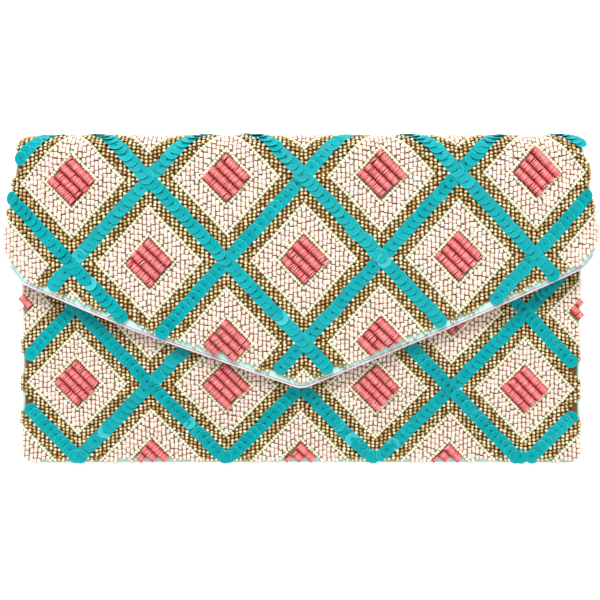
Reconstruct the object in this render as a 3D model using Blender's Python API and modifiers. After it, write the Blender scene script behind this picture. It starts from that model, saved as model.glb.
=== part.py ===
"""Beaded envelope clutch purse, lying on its back with the flap closed.

Frame: +X along the width, +Y towards the fold that the flap turns on, +Z up out of the front.
The origin is on the resting plane, under the middle of the purse. All lengths are in metres.

The back panel, the fold and the flap are one skin of cloth. A place on the skin is (x, s), where
s runs up the flap, round the fold and down the back. On the flap s equals y. The front panel is a
second cloth, and a place on it is (x, y). Each layer sits at a height h above its cloth's outer
face, so the layers inside the purse have negative heights.
"""
import math

import bmesh
import bpy
from mathutils import Matrix, Vector

MM = 0.001

# Body
HALF_WIDTH = 125.6 * MM
BOTTOM_Y = -73.0 * MM
MOUTH_Y = 61.0 * MM
CORNER_CUT = 5.0 * MM
BACK_Z = 3.6 * MM            # outer face of the back cloth, held up by the coral blocks
BOTTOM_RISE = 4.5 * MM       # how far the back curls up to the bottom seam
EDGE_POWER = 8               # the higher it is, the flatter the middle and the tighter the edges
PINCH_Z = 13.0 * MM          # height that the skin is pinched towards at both ends
PINCH = 0.5
LOFT = 17.3 * MM             # how far the front stands off the back, before it tapers
LOFT_BOTTOM_POWER = 2.6      # the higher it is, the rounder the front's bottom edge
LOFT_MOUTH_LOSS = 0.3        # share of the loft that is lost at the mouth

# Fold and flap
FOLD_RADIUS = 11.8 * MM
FOLD_Y = 60.0 * MM
FOLD_Z = BACK_Z + FOLD_RADIUS
TOP_Z = FOLD_Z + FOLD_RADIUS
FOLD_END = FOLD_Y + math.pi * FOLD_RADIUS
TIP_Y = -37.8 * MM
TIP_SAG = 5.0 * MM
HINGE_ANGLES = {"flap": math.radians(45), "back": math.radians(135)}
HINGE_CLEARANCE = 2.8 * MM   # bare cloth left on each side of a hinge line

# Layers: height above the cloth's outer face, lowest and highest
GAP = 0.3 * MM
CLOTH = (-0.5 * MM, 0.0)
BOARD = (-1.7 * MM, -0.8 * MM)
LINING = (-2.5 * MM, -2.0 * MM)
FOLD_LINING = (-1.3 * MM, -0.8 * MM)
POCKET = (-3.3 * MM, -2.8 * MM)
BEADS = (0.3 * MM, 1.3 * MM)
SEQUINS = (1.6 * MM, 2.0 * MM)
SEAM_STACK = 1.3 * MM        # two cloths and the gap between them

# Coral blocks: rows of thin discs stacked on edge
BLOCK_ACROSS = 15.2 * MM      # over its four rows
BLOCK_ALONG = 14.4 * MM
BLOCK_ROWS = 4
BLOCK_BASE = 1.6 * MM
BLOCK_TOP = 3.6 * MM
BLOCK_TURN = math.radians(45)
RIDGE_PROFILE = [(0.46, 0.45), (0.22, 1.0), (-0.22, 1.0), (-0.46, 0.45)]  # shares of width, height

# Diamond lattice: (x, s) of one crossing, the distances between crossings, and how much the
# rows of crossings climb along x
SEQUIN_RADIUS = 3.0 * MM
LATTICE_REACH = 6
SKIN_LATTICE = {"x": 1.0 * MM, "s": 53.4 * MM, "step_x": 67.0 * MM, "step_s": 72.0 * MM, "climb": 0.0205}
FRONT_LATTICE = {"x": -0.35 * MM, "s": -38.5 * MM, "step_x": 66.9 * MM, "step_s": 68.6 * MM, "climb": -0.014}

# Magnetic snap
SNAP_Y = -22.5 * MM
SNAP_RADIUS = 6.0 * MM
SNAP_TILT = math.radians(6.1)
SNAP_SLACK = 0.5 * MM
SOCKET_HEIGHT = 2.4 * MM
SOCKET_WALL = 0.5 * MM
MAGNET_BORE = 2.3 * MM
STUD_FLANGE = 0.8 * MM
PIN_RADIUS = 1.7 * MM
PIN_LENGTH = 1.5 * MM
PLATE_THICKNESS = 0.5 * MM
SNAP_CUTTER_DEPTH = 8.0 * MM
SNAP_ROOM = {"beads": 0.6 * MM, "board": 0.4 * MM}

# How far inside its cloth's edge each layer stops
FRONT_TRIM = {"beads": 3.0 * MM, "sequins": 5.0 * MM}
SKIN_TRIM = {"flap beads": 2.0 * MM, "flap sequins": 2.5 * MM, "flap blocks": 2.5 * MM,
             "flap board": 4.0 * MM, "flap facing": 1.5 * MM, "back beads": 3.0 * MM,
             "back sequins": 5.0 * MM}
HINGE_OVERHANG = {"flap": 2.0 * MM, "back": 3.0 * MM}

PIPING_RADIUS = 0.6 * MM
PIPING_STEP = 9.0 * MM

# Outlines, corner by corner, anticlockwise
FLAP_OUTLINE = [(-1.5, -37.8), (1.5, -37.8), (60.5, -13.2), (124.5, 14.9), (131.0, 27.0),
                (123.5, 70.0), (-123.5, 70.0), (-131.0, 24.0), (-123.0, 8.0), (-71.5, -13.3)]
LINING_OUTLINE = [(-60.0, -58.0), (60.0, -58.0), (111.0, -33.0), (111.0, 70.0),
                  (-111.0, 70.0), (-111.0, -33.0)]
BOARD_OUTLINE = [(-64.0, -61.0), (64.0, -61.0), (114.0, -42.0), (114.0, 57.0),
                 (-114.0, 57.0), (-114.0, -42.0)]
POCKET_OUTLINE = [(-50.0, -45.0), (50.0, -45.0), (50.0, 25.0), (-50.0, 25.0)]
FRONT_BEADS_TOP = 57.0 * MM
FRONT_LATTICE_TOP = 55.0 * MM
FOLD_HALF_WIDTHS = {"cloth": 122.0 * MM, "beads": 120.0 * MM, "lining": 118.0 * MM}

# Lines that every sheet is bent along, so that stacked sheets stay parallel
X_LINES = [0.0, 34.0, 62.0, 84.0, 100.0, 111.0, 120.0, 125.6, 132.0]
Y_LINES = [-73.0, -69.0, -63.0, -53.0, -36.0, -12.0, 15.0, 42.0, 61.0]
FLAP_LINES = [-38.0, -22.0, 0.0, 22.0, 44.0, 60.0]
FOLD_STEP = math.radians(15)
FRAME_STEP = 2.0 * MM        # how far apart the points are that a piece's slope is taken from
ROUND_SIDES = 20
CUT_DISTANCE = 0.001 * MM


def in_metres(points):
    """Turns a list of millimetre pairs into metres."""
    return [(x * MM, y * MM) for x, y in points]


# ---------------------------------------------------------------- surfaces

def pinched(z, x):
    """Draws a height towards the seam height near the two ends of the purse."""
    return PINCH_Z + (z - PINCH_Z) * (1 - PINCH * abs(x / HALF_WIDTH) ** EDGE_POWER)


def back_height(x, y):
    """Outer face of the back cloth."""
    reach = max(0.0, (FOLD_Y - y) / (FOLD_Y - BOTTOM_Y))
    return pinched(BACK_Z + BOTTOM_RISE * reach ** EDGE_POWER, x)


def skin_point(x, s, h=0.0):
    """A point h outside the skin of the back, fold and flap."""
    if s <= FOLD_Y:
        sag = TIP_SAG * ((FOLD_Y - s) / (FOLD_Y - TIP_Y)) ** 2
        return Vector((x, s, pinched(TOP_Z - sag, x) + h))
    if s >= FOLD_END:
        y = FOLD_Y - (s - FOLD_END)
        return Vector((x, y, back_height(x, y) - h))
    turn = (s - FOLD_Y) / FOLD_RADIUS
    return Vector((x, FOLD_Y + (FOLD_RADIUS + h) * math.sin(turn),
                   pinched(FOLD_Z + FOLD_RADIUS * math.cos(turn), x) + h * math.cos(turn)))


def front_point(x, y, h=0.0):
    """A point h outside the front cloth."""
    rise = min(1.0, (y - BOTTOM_Y) / (MOUTH_Y - BOTTOM_Y))
    swell = (1 - (1 - rise) ** LOFT_BOTTOM_POWER) * (1 - LOFT_MOUTH_LOSS * rise ** 2)
    across = 1 - min(1.0, abs(x / HALF_WIDTH)) ** 4
    return Vector((x, y, back_height(x, y) + SEAM_STACK + LOFT * across * swell + h))


def surface_frame(place, x, s, h):
    """The matrix of a piece that lies on a surface at (x, s, h), with its Z outwards."""
    along_x = (place(x + FRAME_STEP, s, h) - place(x - FRAME_STEP, s, h)).normalized()
    along_s = place(x, s + FRAME_STEP, h) - place(x, s - FRAME_STEP, h)
    outwards = along_x.cross(along_s).normalized()
    turn = Matrix((along_x, outwards.cross(along_x), outwards)).transposed()
    return Matrix.Translation(place(x, s, h)) @ turn.to_4x4()


def fold_s(angle):
    """The s of a place on the fold, by its angle from the top of the fold."""
    return FOLD_Y + angle * FOLD_RADIUS


FLAP_END_S = fold_s(HINGE_ANGLES["flap"]) - HINGE_CLEARANCE
FOLD_START_S = fold_s(HINGE_ANGLES["flap"]) + HINGE_CLEARANCE
FOLD_END_S = fold_s(HINGE_ANGLES["back"]) - HINGE_CLEARANCE
BACK_START_S = fold_s(HINGE_ANGLES["back"]) + HINGE_CLEARANCE


def skin_lines():
    """Every bend line of the skin, from the flap's tip to the bottom seam."""
    turns = [fold_s(FOLD_STEP * i) for i in range(1, int(math.pi / FOLD_STEP + 0.5))]
    back = [FOLD_END + FOLD_Y - y * MM for y in reversed(Y_LINES) if y * MM < FOLD_Y]
    return [y * MM for y in FLAP_LINES] + turns + [FOLD_END] + back


# ---------------------------------------------------------------- scene helpers

def clear_scene():
    for old in list(bpy.data.objects):
        bpy.data.objects.remove(old, do_unlink=True)


def new_collection(name):
    collection = bpy.data.collections.new(name)
    bpy.context.scene.collection.children.link(collection)
    return collection


def material(name, color, roughness, metallic=0.0):
    made = bpy.data.materials.new(name)
    made.use_nodes = True
    shader = made.node_tree.nodes["Principled BSDF"]
    shader.inputs["Base Color"].default_value = (*color, 1.0)
    shader.inputs["Roughness"].default_value = roughness
    shader.inputs["Metallic"].default_value = metallic
    return made


def add_object(name, mesh, parent, finish):
    """Puts a mesh in the purse's collection, under the empty of its body."""
    made = bpy.data.objects.new(name, mesh)
    if not mesh.materials:
        mesh.materials.append(finish)
    PURSE.objects.link(made)
    made.parent = parent
    made.matrix_parent_inverse = parent.matrix_world.inverted()
    return made


def body_empty(name, location, parent=None):
    """An empty on a body's hinge axis, which that body's pieces hang from."""
    empty = bpy.data.objects.new(name, None)
    PURSE.objects.link(empty)
    empty.empty_display_size = 10 * MM
    if parent:
        empty.parent = parent
        empty.location = location - parent.matrix_world.translation
    else:
        empty.location = location
    bpy.context.view_layer.update()
    return empty


def mesh_from(bm, name):
    mesh = bpy.data.meshes.new(name)
    bm.to_mesh(mesh)
    bm.free()
    return mesh


# ---------------------------------------------------------------- sheets

def stationed_grid(x_lines, s_lines):
    """A flat grid whose lines lie at the given stations."""
    bm = bmesh.new()
    columns, rows = len(x_lines) - 1, len(s_lines) - 1
    bmesh.ops.create_grid(bm, x_segments=columns, y_segments=rows, size=1.0)
    for vert in bm.verts:
        column = round((vert.co.x + 1) / 2 * columns)
        row = round((vert.co.y + 1) / 2 * rows)
        vert.co = (x_lines[column], s_lines[row], 0.0)
    return bm


def slice_mesh(bm, point, direction, clear_outer=False):
    """Cuts a mesh along a plane, and may clear what lies beyond it."""
    everything = bm.verts[:] + bm.edges[:] + bm.faces[:]
    bmesh.ops.bisect_plane(bm, geom=everything, dist=CUT_DISTANCE, plane_co=point, plane_no=direction,
                           clear_outer=clear_outer)


def cut_to(bm, outline, inset=0.0, close=False):
    """Trims a mesh to a convex outline seen from above, moved in by inset, and may close the cuts."""
    for (ax, ay), (bx, by) in zip(outline, outline[1:] + outline[:1]):
        outwards = Vector((by - ay, ax - bx, 0)).normalized()
        slice_mesh(bm, Vector((ax, ay, 0)) - outwards * inset, outwards, clear_outer=True)
        if close:
            bmesh.ops.holes_fill(bm, edges=[edge for edge in bm.edges if edge.is_boundary])


def keep_largest_island(bm):
    """Drops the corners that trimming has cut off from the rest."""
    unseen, islands = set(bm.faces), []
    while unseen:
        island, edge = set(), [unseen.pop()]
        while edge:
            face = edge.pop()
            island.add(face)
            near = {other for e in face.edges for other in e.link_faces} & unseen
            unseen -= near
            edge += near
        islands.append(island)
    largest = max(islands, key=len)
    strays = [face for face in bm.faces if face not in largest]
    bmesh.ops.delete(bm, geom=strays, context="FACES")


def bend(bm, place, layer):
    """Moves a flat mesh on to a surface, at the lower height of its layer."""
    for vert in bm.verts:
        vert.co = place(vert.co.x, vert.co.y, layer[0])


def thicken(made, layer):
    """Gives an open sheet the thickness of its layer, outwards."""
    shell = made.modifiers.new("thickness", "SOLIDIFY")
    shell.thickness = layer[1] - layer[0]
    shell.offset = 1.0
    return made


def both_ways(lines):
    """Lines on one side of the middle, in millimetres, repeated on the other side in metres."""
    return [-x * MM for x in reversed(lines[1:])] + [x * MM for x in lines]


def sheet(name, parent, finish, place, lines, outline, layer, inset=0.0):
    """A sheet of cloth, board or beadwork, bent along the shared lines and trimmed to an outline."""
    bm = stationed_grid(both_ways(X_LINES), lines)
    cut_to(bm, outline, inset)
    bend(bm, place, layer)
    return thicken(add_object(name, mesh_from(bm, name), parent, finish), layer)


def skin_sheet(name, parent, finish, outline, layer, inset=0.0):
    return sheet(name, parent, finish, skin_point, skin_lines(), outline, layer, inset)


def front_lines():
    """Every bend line of the front, from the bottom seam to the mouth."""
    return [y * MM for y in Y_LINES]


def front_sheet(name, finish, outline, layer, inset=0.0):
    return sheet(name, BODIES["bag"], finish, front_point, front_lines(), outline, layer, inset)


def panel_outline(low, high, half_width):
    """A rectangle, corner by corner, in (x, s)."""
    return [(-half_width, low), (half_width, low), (half_width, high), (-half_width, high)]


def front_outline(top_y):
    """The front panel: a rectangle with its two bottom corners cut off."""
    return [(-HALF_WIDTH + CORNER_CUT, BOTTOM_Y), (HALF_WIDTH - CORNER_CUT, BOTTOM_Y),
            (HALF_WIDTH, BOTTOM_Y + CORNER_CUT), (HALF_WIDTH, top_y),
            (-HALF_WIDTH, top_y), (-HALF_WIDTH, BOTTOM_Y + CORNER_CUT)]


def on_back(outline):
    """Turns an outline in (x, y) on the back panel into one in (x, s)."""
    return [(x, FOLD_END + FOLD_Y - y) for x, y in reversed(outline)]


# ---------------------------------------------------------------- diamond lattice

def score(bm, lines, direction):
    """Adds an edge to a flat mesh along each line across one direction, so that it bends there."""
    for line in lines:
        slice_mesh(bm, direction * line, direction)


def lattice_place(pattern, columns, rows):
    """The (x, s) of a place that is so many steps from the lattice's first crossing."""
    x = pattern["step_x"] * columns
    return pattern["x"] + x, pattern["s"] + pattern["step_s"] * rows + pattern["climb"] * x


def lattice(name, parent, place, pattern, s_lines, outline, inset):
    """The crossing bands of sequins on one panel, as one trimmed sheet."""
    half_band = SEQUIN_RADIUS * math.hypot(1 / pattern["step_x"], 1 / pattern["step_s"])
    bands = range(-LATTICE_REACH, LATTICE_REACH + 1)
    lines = [band + side * half_band for band in bands for side in (-1, 1)]
    bm = stationed_grid(lines, lines)

    def in_band(value):
        return abs(value - round(value)) < half_band

    diamonds = []
    for face in bm.faces:
        middle = face.calc_center_median()
        if not in_band(middle.x) and not in_band(middle.y):
            diamonds.append(face)
    bmesh.ops.delete(bm, geom=diamonds, context="FACES")
    for vert in bm.verts:
        p, q = vert.co.x, vert.co.y
        vert.co = (*lattice_place(pattern, (p + q) / 2, (q - p) / 2), 0.0)
    cut_to(bm, outline, inset)
    keep_largest_island(bm)
    score(bm, both_ways(X_LINES), Vector((1, 0, 0)))
    score(bm, s_lines, Vector((0, 1, 0)))
    bend(bm, place, SEQUINS)
    return thicken(add_object(name, mesh_from(bm, name), parent, FINISHES["sequin"]), SEQUINS)


# ---------------------------------------------------------------- coral blocks

def coral_mesh():
    """A block of discs on edge: half-round ridges side by side, run out along Y."""
    ridge = BLOCK_ACROSS / BLOCK_ROWS
    height = BLOCK_TOP - BLOCK_BASE
    bm = bmesh.new()
    profile = [(-BLOCK_ACROSS / 2, 0.0), (BLOCK_ACROSS / 2, 0.0)]
    for row in reversed(range(BLOCK_ROWS)):
        middle = -BLOCK_ACROSS / 2 + ridge * (row + 0.5)
        profile += [(middle + ridge * wide, height * high) for wide, high in RIDGE_PROFILE]
    verts = [bm.verts.new((x, -BLOCK_ALONG / 2, z)) for x, z in profile]
    end = bm.faces.new(verts)
    run = bmesh.ops.extrude_face_region(bm, geom=[end], use_keep_orig=True)["geom"]
    moved = [item for item in run if isinstance(item, bmesh.types.BMVert)]
    bmesh.ops.translate(bm, verts=moved, vec=(0, BLOCK_ALONG, 0))
    bmesh.ops.recalc_face_normals(bm, faces=bm.faces)
    return mesh_from(bm, "coral_block")


def coral_block(name, parent, mesh, place, x, s):
    """One coral block, laid on its panel with the rows of discs on the diagonal."""
    made = add_object(name, mesh, parent, FINISHES["coral"])
    where = surface_frame(place, x, s, BLOCK_BASE) @ Matrix.Rotation(BLOCK_TURN, 4, "Z")
    made.matrix_world = where
    return made


def lattice_centres(pattern, rows):
    """Centres of the diamonds, row by row. A row is (s steps from the crossing, x steps)."""
    return [lattice_place(pattern, i, j) for j, columns in rows for i in columns]


def coral_blocks():
    mesh = coral_mesh()
    odd, even = (-1.5, -0.5, 0.5, 1.5), (-1, 0, 1)
    flap_rows = [(0, odd), (-0.5, even)]
    cut_rows = [(-1, (-0.5, 0.5))]
    front_rows = [(0, odd), (0.5, even), (1, odd)]
    back_rows = [(1, odd), (1.5, even), (2, odd)]
    whole = lattice_centres(SKIN_LATTICE, flap_rows)
    for i, (x, s) in enumerate(whole):
        coral_block(f"flap_coral_block_{i + 1}", BODIES["flap"], mesh, skin_point, x, s)
    for i, (x, s) in enumerate(lattice_centres(SKIN_LATTICE, cut_rows)):
        cut_coral_block(f"flap_coral_block_{len(whole) + i + 1}", mesh, x, s)
    for i, (x, y) in enumerate(lattice_centres(FRONT_LATTICE, front_rows)):
        coral_block(f"front_coral_block_{i + 1}", BODIES["bag"], mesh, front_point, x, y)
    for i, (x, s) in enumerate(lattice_centres(SKIN_LATTICE, back_rows)):
        block = coral_block(f"back_coral_block_{i + 1}", BODIES["bag"], mesh, skin_point, x, s)
        block.matrix_world = resting_frame(x, s)


def resting_frame(x, s):
    """A back block lies square on the table, so that all of them carry the purse."""
    y = FOLD_Y - (s - FOLD_END)
    return Matrix.Translation((x, y, BLOCK_TOP - BLOCK_BASE)) @ Matrix.Rotation(math.pi, 4, "X") \
        @ Matrix.Rotation(BLOCK_TURN, 4, "Z")


def cut_coral_block(name, mesh, x, s):
    """A block of the flap that is cut off where the flap's edge crosses it."""
    bm = bmesh.new()
    bm.from_mesh(mesh)
    to_skin = Matrix.Translation((x, s, 0)) @ Matrix.Rotation(BLOCK_TURN, 4, "Z")
    bmesh.ops.transform(bm, matrix=to_skin, verts=bm.verts)
    cut_to(bm, in_metres(FLAP_OUTLINE), SKIN_TRIM["flap blocks"], close=True)
    bmesh.ops.transform(bm, matrix=Matrix.Translation((-x, -s, 0)), verts=bm.verts)
    made = add_object(name, mesh_from(bm, name), BODIES["flap"], FINISHES["coral"])
    made.matrix_world = surface_frame(skin_point, x, s, BLOCK_BASE)


# ---------------------------------------------------------------- turned pieces of the snap

def turned(name, parent, finish, profile, frame):
    """A turned piece: a closed profile in (radius, height), swept round Z."""
    bm = bmesh.new()
    verts = [bm.verts.new((r, 0, z)) for r, z in profile]
    for a, b in zip(verts, verts[1:] + verts[:1]):
        if a.co.x > 0 or b.co.x > 0:
            bm.edges.new((a, b))
    made = add_object(name, mesh_from(bm, name), parent, finish)
    made.matrix_world = frame
    sweep = made.modifiers.new("turned", "SCREW")
    sweep.steps = ROUND_SIDES
    sweep.render_steps = ROUND_SIDES
    sweep.use_merge_vertices = True
    sweep.merge_threshold = 0.00001
    return made


def snap_frame(base):
    """A frame on the snap's axis, tilted to lie along the front and the flap."""
    return Matrix.Translation(base) @ Matrix.Rotation(SNAP_TILT, 4, "X")


def magnetic_snap():
    """Socket and ring magnet on the front, stud on the flap, and a clamp plate behind each."""
    axis = Matrix.Rotation(SNAP_TILT, 3, "X") @ Vector((0, 0, 1))
    socket_base = front_point(0, SNAP_Y) + axis * SNAP_SLACK
    rim, floor = SNAP_RADIUS, SOCKET_WALL
    wall = SNAP_RADIUS - SOCKET_WALL
    turned("snap_socket", BODIES["bag"], FINISHES["snap_metal"],
           [(rim, SOCKET_HEIGHT), (rim, 0), (0, 0), (0, floor), (wall, floor), (wall, SOCKET_HEIGHT)],
           snap_frame(socket_base))
    ring_low, ring_high = floor + GAP, SOCKET_HEIGHT - 0.1 * MM
    turned("snap_magnet", BODIES["bag"], FINISHES["magnet"],
           [(MAGNET_BORE, ring_low), (MAGNET_BORE, ring_high), (wall - GAP, ring_high),
            (wall - GAP, ring_low)],
           snap_frame(socket_base))
    stud_base = socket_base + axis * (SOCKET_HEIGHT + GAP)
    turned("snap_stud", BODIES["flap"], FINISHES["snap_metal"],
           [(0, -PIN_LENGTH), (0, STUD_FLANGE), (rim, STUD_FLANGE), (rim, 0), (PIN_RADIUS, 0),
            (PIN_RADIUS, -PIN_LENGTH)],
           snap_frame(stud_base))
    plates = [("snap_socket_plate", "bag", front_point), ("snap_stud_plate", "flap", skin_point)]
    for name, body, place in plates:
        middle = place(0, SNAP_Y, (BOARD[0] + BOARD[1] - PLATE_THICKNESS) / 2)
        turned(name, BODIES[body], FINISHES["snap_metal"],
               [(0, 0), (0, PLATE_THICKNESS), (rim, PLATE_THICKNESS), (rim, 0)], snap_frame(middle))


def snap_hole(made, place, extra):
    """Cuts the round hole that a snap piece sits in."""
    cutter_bm = bmesh.new()
    radius = SNAP_RADIUS + extra
    bmesh.ops.create_cone(cutter_bm, cap_ends=True, segments=ROUND_SIDES, radius1=radius, radius2=radius,
                          depth=SNAP_CUTTER_DEPTH)
    cutter = bpy.data.objects.new(f"cutter_{made.name}", mesh_from(cutter_bm, "cutter"))
    CUTTERS.objects.link(cutter)
    cutter.matrix_world = snap_frame(place(0, SNAP_Y))
    cutter.hide_render = True
    cutter.display_type = "WIRE"
    hole = made.modifiers.new("snap hole", "BOOLEAN")
    hole.operation = "DIFFERENCE"
    hole.object = cutter


# ---------------------------------------------------------------- piping

def flap_piping():
    """The satin cord sewn along the flap's lower edge, just outside the cloth."""
    edge = in_metres([FLAP_OUTLINE[i] for i in (8, 9, 0, 1, 2, 3)])
    points = []
    for (ax, ay), (bx, by) in zip(edge, edge[1:]):
        outwards = Vector((by - ay, ax - bx)).normalized() * (PIPING_RADIUS + GAP)
        pieces = max(1, round(math.hypot(bx - ax, by - ay) / PIPING_STEP))
        for i in range(pieces):
            t = (i + 0.5) / pieces
            points.append((ax + (bx - ax) * t + outwards.x, ay + (by - ay) * t + outwards.y))
    curve = bpy.data.curves.new("flap_piping", "CURVE")
    curve.dimensions = "3D"
    curve.bevel_depth = PIPING_RADIUS
    curve.bevel_resolution = 2
    curve.use_fill_caps = True
    spline = curve.splines.new("POLY")
    spline.points.add(len(points) - 1)
    middle = (LINING[0] + CLOTH[1]) / 2
    for control, (x, s) in zip(spline.points, points):
        control.co = (*skin_point(x, s, middle), 1.0)
    add_object("flap_piping", curve, BODIES["flap"], FINISHES["piping"])


# ---------------------------------------------------------------- panels

def front_panel():
    cloth = front_outline(MOUTH_Y)
    front_sheet("front_ground_cloth", FINISHES["ground_cloth"], cloth, CLOTH)
    beads = front_sheet("front_bead_field", FINISHES["bugle_bead"], front_outline(FRONT_BEADS_TOP), BEADS,
                        FRONT_TRIM["beads"])
    snap_hole(beads, front_point, SNAP_ROOM["beads"])
    board = front_sheet("front_interfacing", FINISHES["interfacing"], in_metres(BOARD_OUTLINE), BOARD)
    snap_hole(board, front_point, SNAP_ROOM["board"])
    front_sheet("front_lining", FINISHES["lining_satin"], in_metres(LINING_OUTLINE), LINING)
    lattice("front_sequin_lattice", BODIES["bag"], front_point, FRONT_LATTICE, front_lines(),
            front_outline(FRONT_LATTICE_TOP), FRONT_TRIM["sequins"])


def back_panel():
    outline = on_back(front_outline(MOUTH_Y))
    cloth = [(x, max(s, BACK_START_S)) for x, s in outline]
    beads = [(x, s - HINGE_OVERHANG["back"] if s == BACK_START_S else s) for x, s in cloth]
    lining = [(x, max(s, BACK_START_S)) for x, s in on_back(in_metres(LINING_OUTLINE))]
    board = on_back(in_metres(BOARD_OUTLINE))
    bag = BODIES["bag"]
    skin_sheet("back_ground_cloth", bag, FINISHES["ground_cloth"], cloth, CLOTH)
    skin_sheet("back_bead_field", bag, FINISHES["bugle_bead"], beads, BEADS, SKIN_TRIM["back beads"])
    skin_sheet("back_interfacing", bag, FINISHES["interfacing"], board, BOARD)
    skin_sheet("back_lining", bag, FINISHES["lining_satin"], lining, LINING)
    skin_sheet("slip_pocket", bag, FINISHES["lining_satin"], on_back(in_metres(POCKET_OUTLINE)), POCKET)
    lattice("back_sequin_lattice", bag, skin_point, SKIN_LATTICE, skin_lines(), beads,
            SKIN_TRIM["back sequins"])


def fold_strip():
    layers = [("cloth", "fold_ground_cloth", "ground_cloth", CLOTH),
              ("beads", "fold_bead_field", "bugle_bead", BEADS),
              ("lining", "fold_lining", "lining_satin", FOLD_LINING)]
    for kind, name, finish, layer in layers:
        outline = panel_outline(FOLD_START_S, FOLD_END_S, FOLD_HALF_WIDTHS[kind])
        skin_sheet(name, BODIES["spine"], FINISHES[finish], outline, layer)


def flap_panel():
    outline = [(x, min(s, FLAP_END_S)) for x, s in in_metres(FLAP_OUTLINE)]
    beads = [(x, s + HINGE_OVERHANG["flap"] if s == FLAP_END_S else s) for x, s in outline]
    board = [(x, min(s, FOLD_Y)) for x, s in outline]
    flap = BODIES["flap"]
    skin_sheet("flap_ground_cloth", flap, FINISHES["ground_cloth"], outline, CLOTH)
    skin_sheet("flap_bead_field", flap, FINISHES["bugle_bead"], beads, BEADS, SKIN_TRIM["flap beads"])
    stiff = skin_sheet("flap_interfacing", flap, FINISHES["interfacing"], board, BOARD,
                       SKIN_TRIM["flap board"])
    snap_hole(stiff, skin_point, SNAP_ROOM["board"])
    skin_sheet("flap_facing", flap, FINISHES["lining_satin"], outline, LINING, SKIN_TRIM["flap facing"])
    lattice("flap_sequin_lattice", flap, skin_point, SKIN_LATTICE, skin_lines(), beads,
            SKIN_TRIM["flap sequins"])
    flap_piping()


# ---------------------------------------------------------------- assembly

clear_scene()
PURSE = new_collection("clutch_purse")
CUTTERS = new_collection("cutters")
CUTTERS.hide_render = True
FINISHES = {
    "ground_cloth": material("ground_cloth", (0.50, 0.83, 0.73), 0.8),
    "bugle_bead": material("bugle_bead", (0.90, 0.72, 0.66), 0.35),
    "sequin": material("sequin", (0.0, 0.52, 0.52), 0.3),
    "coral": material("coral", (0.86, 0.14, 0.17), 0.35),
    "lining_satin": material("lining_satin", (0.86, 0.70, 0.70), 0.5),
    "piping": material("piping", (0.88, 0.76, 0.80), 0.4),
    "interfacing": material("interfacing", (0.85, 0.84, 0.80), 0.9),
    "snap_metal": material("snap_metal", (0.72, 0.60, 0.36), 0.25, 1.0),
    "magnet": material("magnet", (0.25, 0.25, 0.27), 0.4, 1.0),
}
BACK_HINGE = skin_point(0, fold_s(HINGE_ANGLES["back"]))
FLAP_HINGE = skin_point(0, fold_s(HINGE_ANGLES["flap"]))
BODIES = {"bag": body_empty("bag", Vector((0, 0, 0)))}
BODIES["spine"] = body_empty("spine", BACK_HINGE, BODIES["bag"])
BODIES["flap"] = body_empty("flap", FLAP_HINGE, BODIES["spine"])
front_panel()
back_panel()
fold_strip()
flap_panel()
coral_blocks()
magnetic_snap()
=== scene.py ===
"""Looks of the beaded envelope clutch purse: cloth, beadwork, coral discs, lining and snap.

Frame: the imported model's own. +X along the width, +Y towards the fold, +Z up out of the front.
Flap, fold and back are one cloth, the skin, and a place on it is (x, s), where s runs up the flap,
round the fold and down the back. A place on the front is (x, y), and in a function that serves both
panels s stands for that y. A height h is above the cloth's outer face. All lengths are in metres.

One mesh holds all the beads of one kind on one region of one panel. It is made by setting a small
template shape down many times on the panel's surface.
"""

import math
from typing import NamedTuple

import bpy
import numpy as np
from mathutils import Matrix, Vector


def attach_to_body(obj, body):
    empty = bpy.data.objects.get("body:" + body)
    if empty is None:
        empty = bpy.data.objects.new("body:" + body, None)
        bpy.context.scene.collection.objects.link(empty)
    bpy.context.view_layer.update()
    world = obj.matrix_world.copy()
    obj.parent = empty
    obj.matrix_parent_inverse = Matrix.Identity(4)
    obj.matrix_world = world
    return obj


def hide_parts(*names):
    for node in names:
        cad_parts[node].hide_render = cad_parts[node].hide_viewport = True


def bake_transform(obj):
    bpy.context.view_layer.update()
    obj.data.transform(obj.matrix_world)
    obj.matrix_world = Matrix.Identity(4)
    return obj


MM = 0.001
rng = np.random.default_rng(509)

# Body, as in the CAD model
HALF_WIDTH = 125.6 * MM
BOTTOM_Y = -73.0 * MM
MOUTH_Y = 61.0 * MM
BACK_Z = 3.6 * MM
BOTTOM_RISE = 4.5 * MM
EDGE_POWER = 8
PINCH_Z = 13.0 * MM
PINCH = 0.5
LOFT = 17.3 * MM
SWELL_POWER = 2.6  # how soon the front rises from its bottom edge
MOUTH_DROP = 0.3  # share of the loft that is lost at the mouth
CROWN_POWER = 4  # how flat the front is from side to side
SEAM_STACK = 1.3 * MM
FOLD_RADIUS = 11.8 * MM
FOLD_Y = 60.0 * MM
FOLD_Z = BACK_Z + FOLD_RADIUS
FOLD_END = FOLD_Y + math.pi * FOLD_RADIUS
FOLD_MIDDLE = (FOLD_Y + FOLD_END) / 2
BACK_END = FOLD_END + FOLD_Y - BOTTOM_Y
TIP_Y = -37.8 * MM
TIP_SAG = 5.0 * MM
SNAP_Y = -22.5 * MM
SNAP_RADIUS = 6.0 * MM
SNAP_TILT = math.radians(6.1)
SNAP_SEAT = 0.5 * MM  # socket above the front cloth
STUD_SEAT = 2.7 * MM  # stud above the socket's seat

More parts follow.
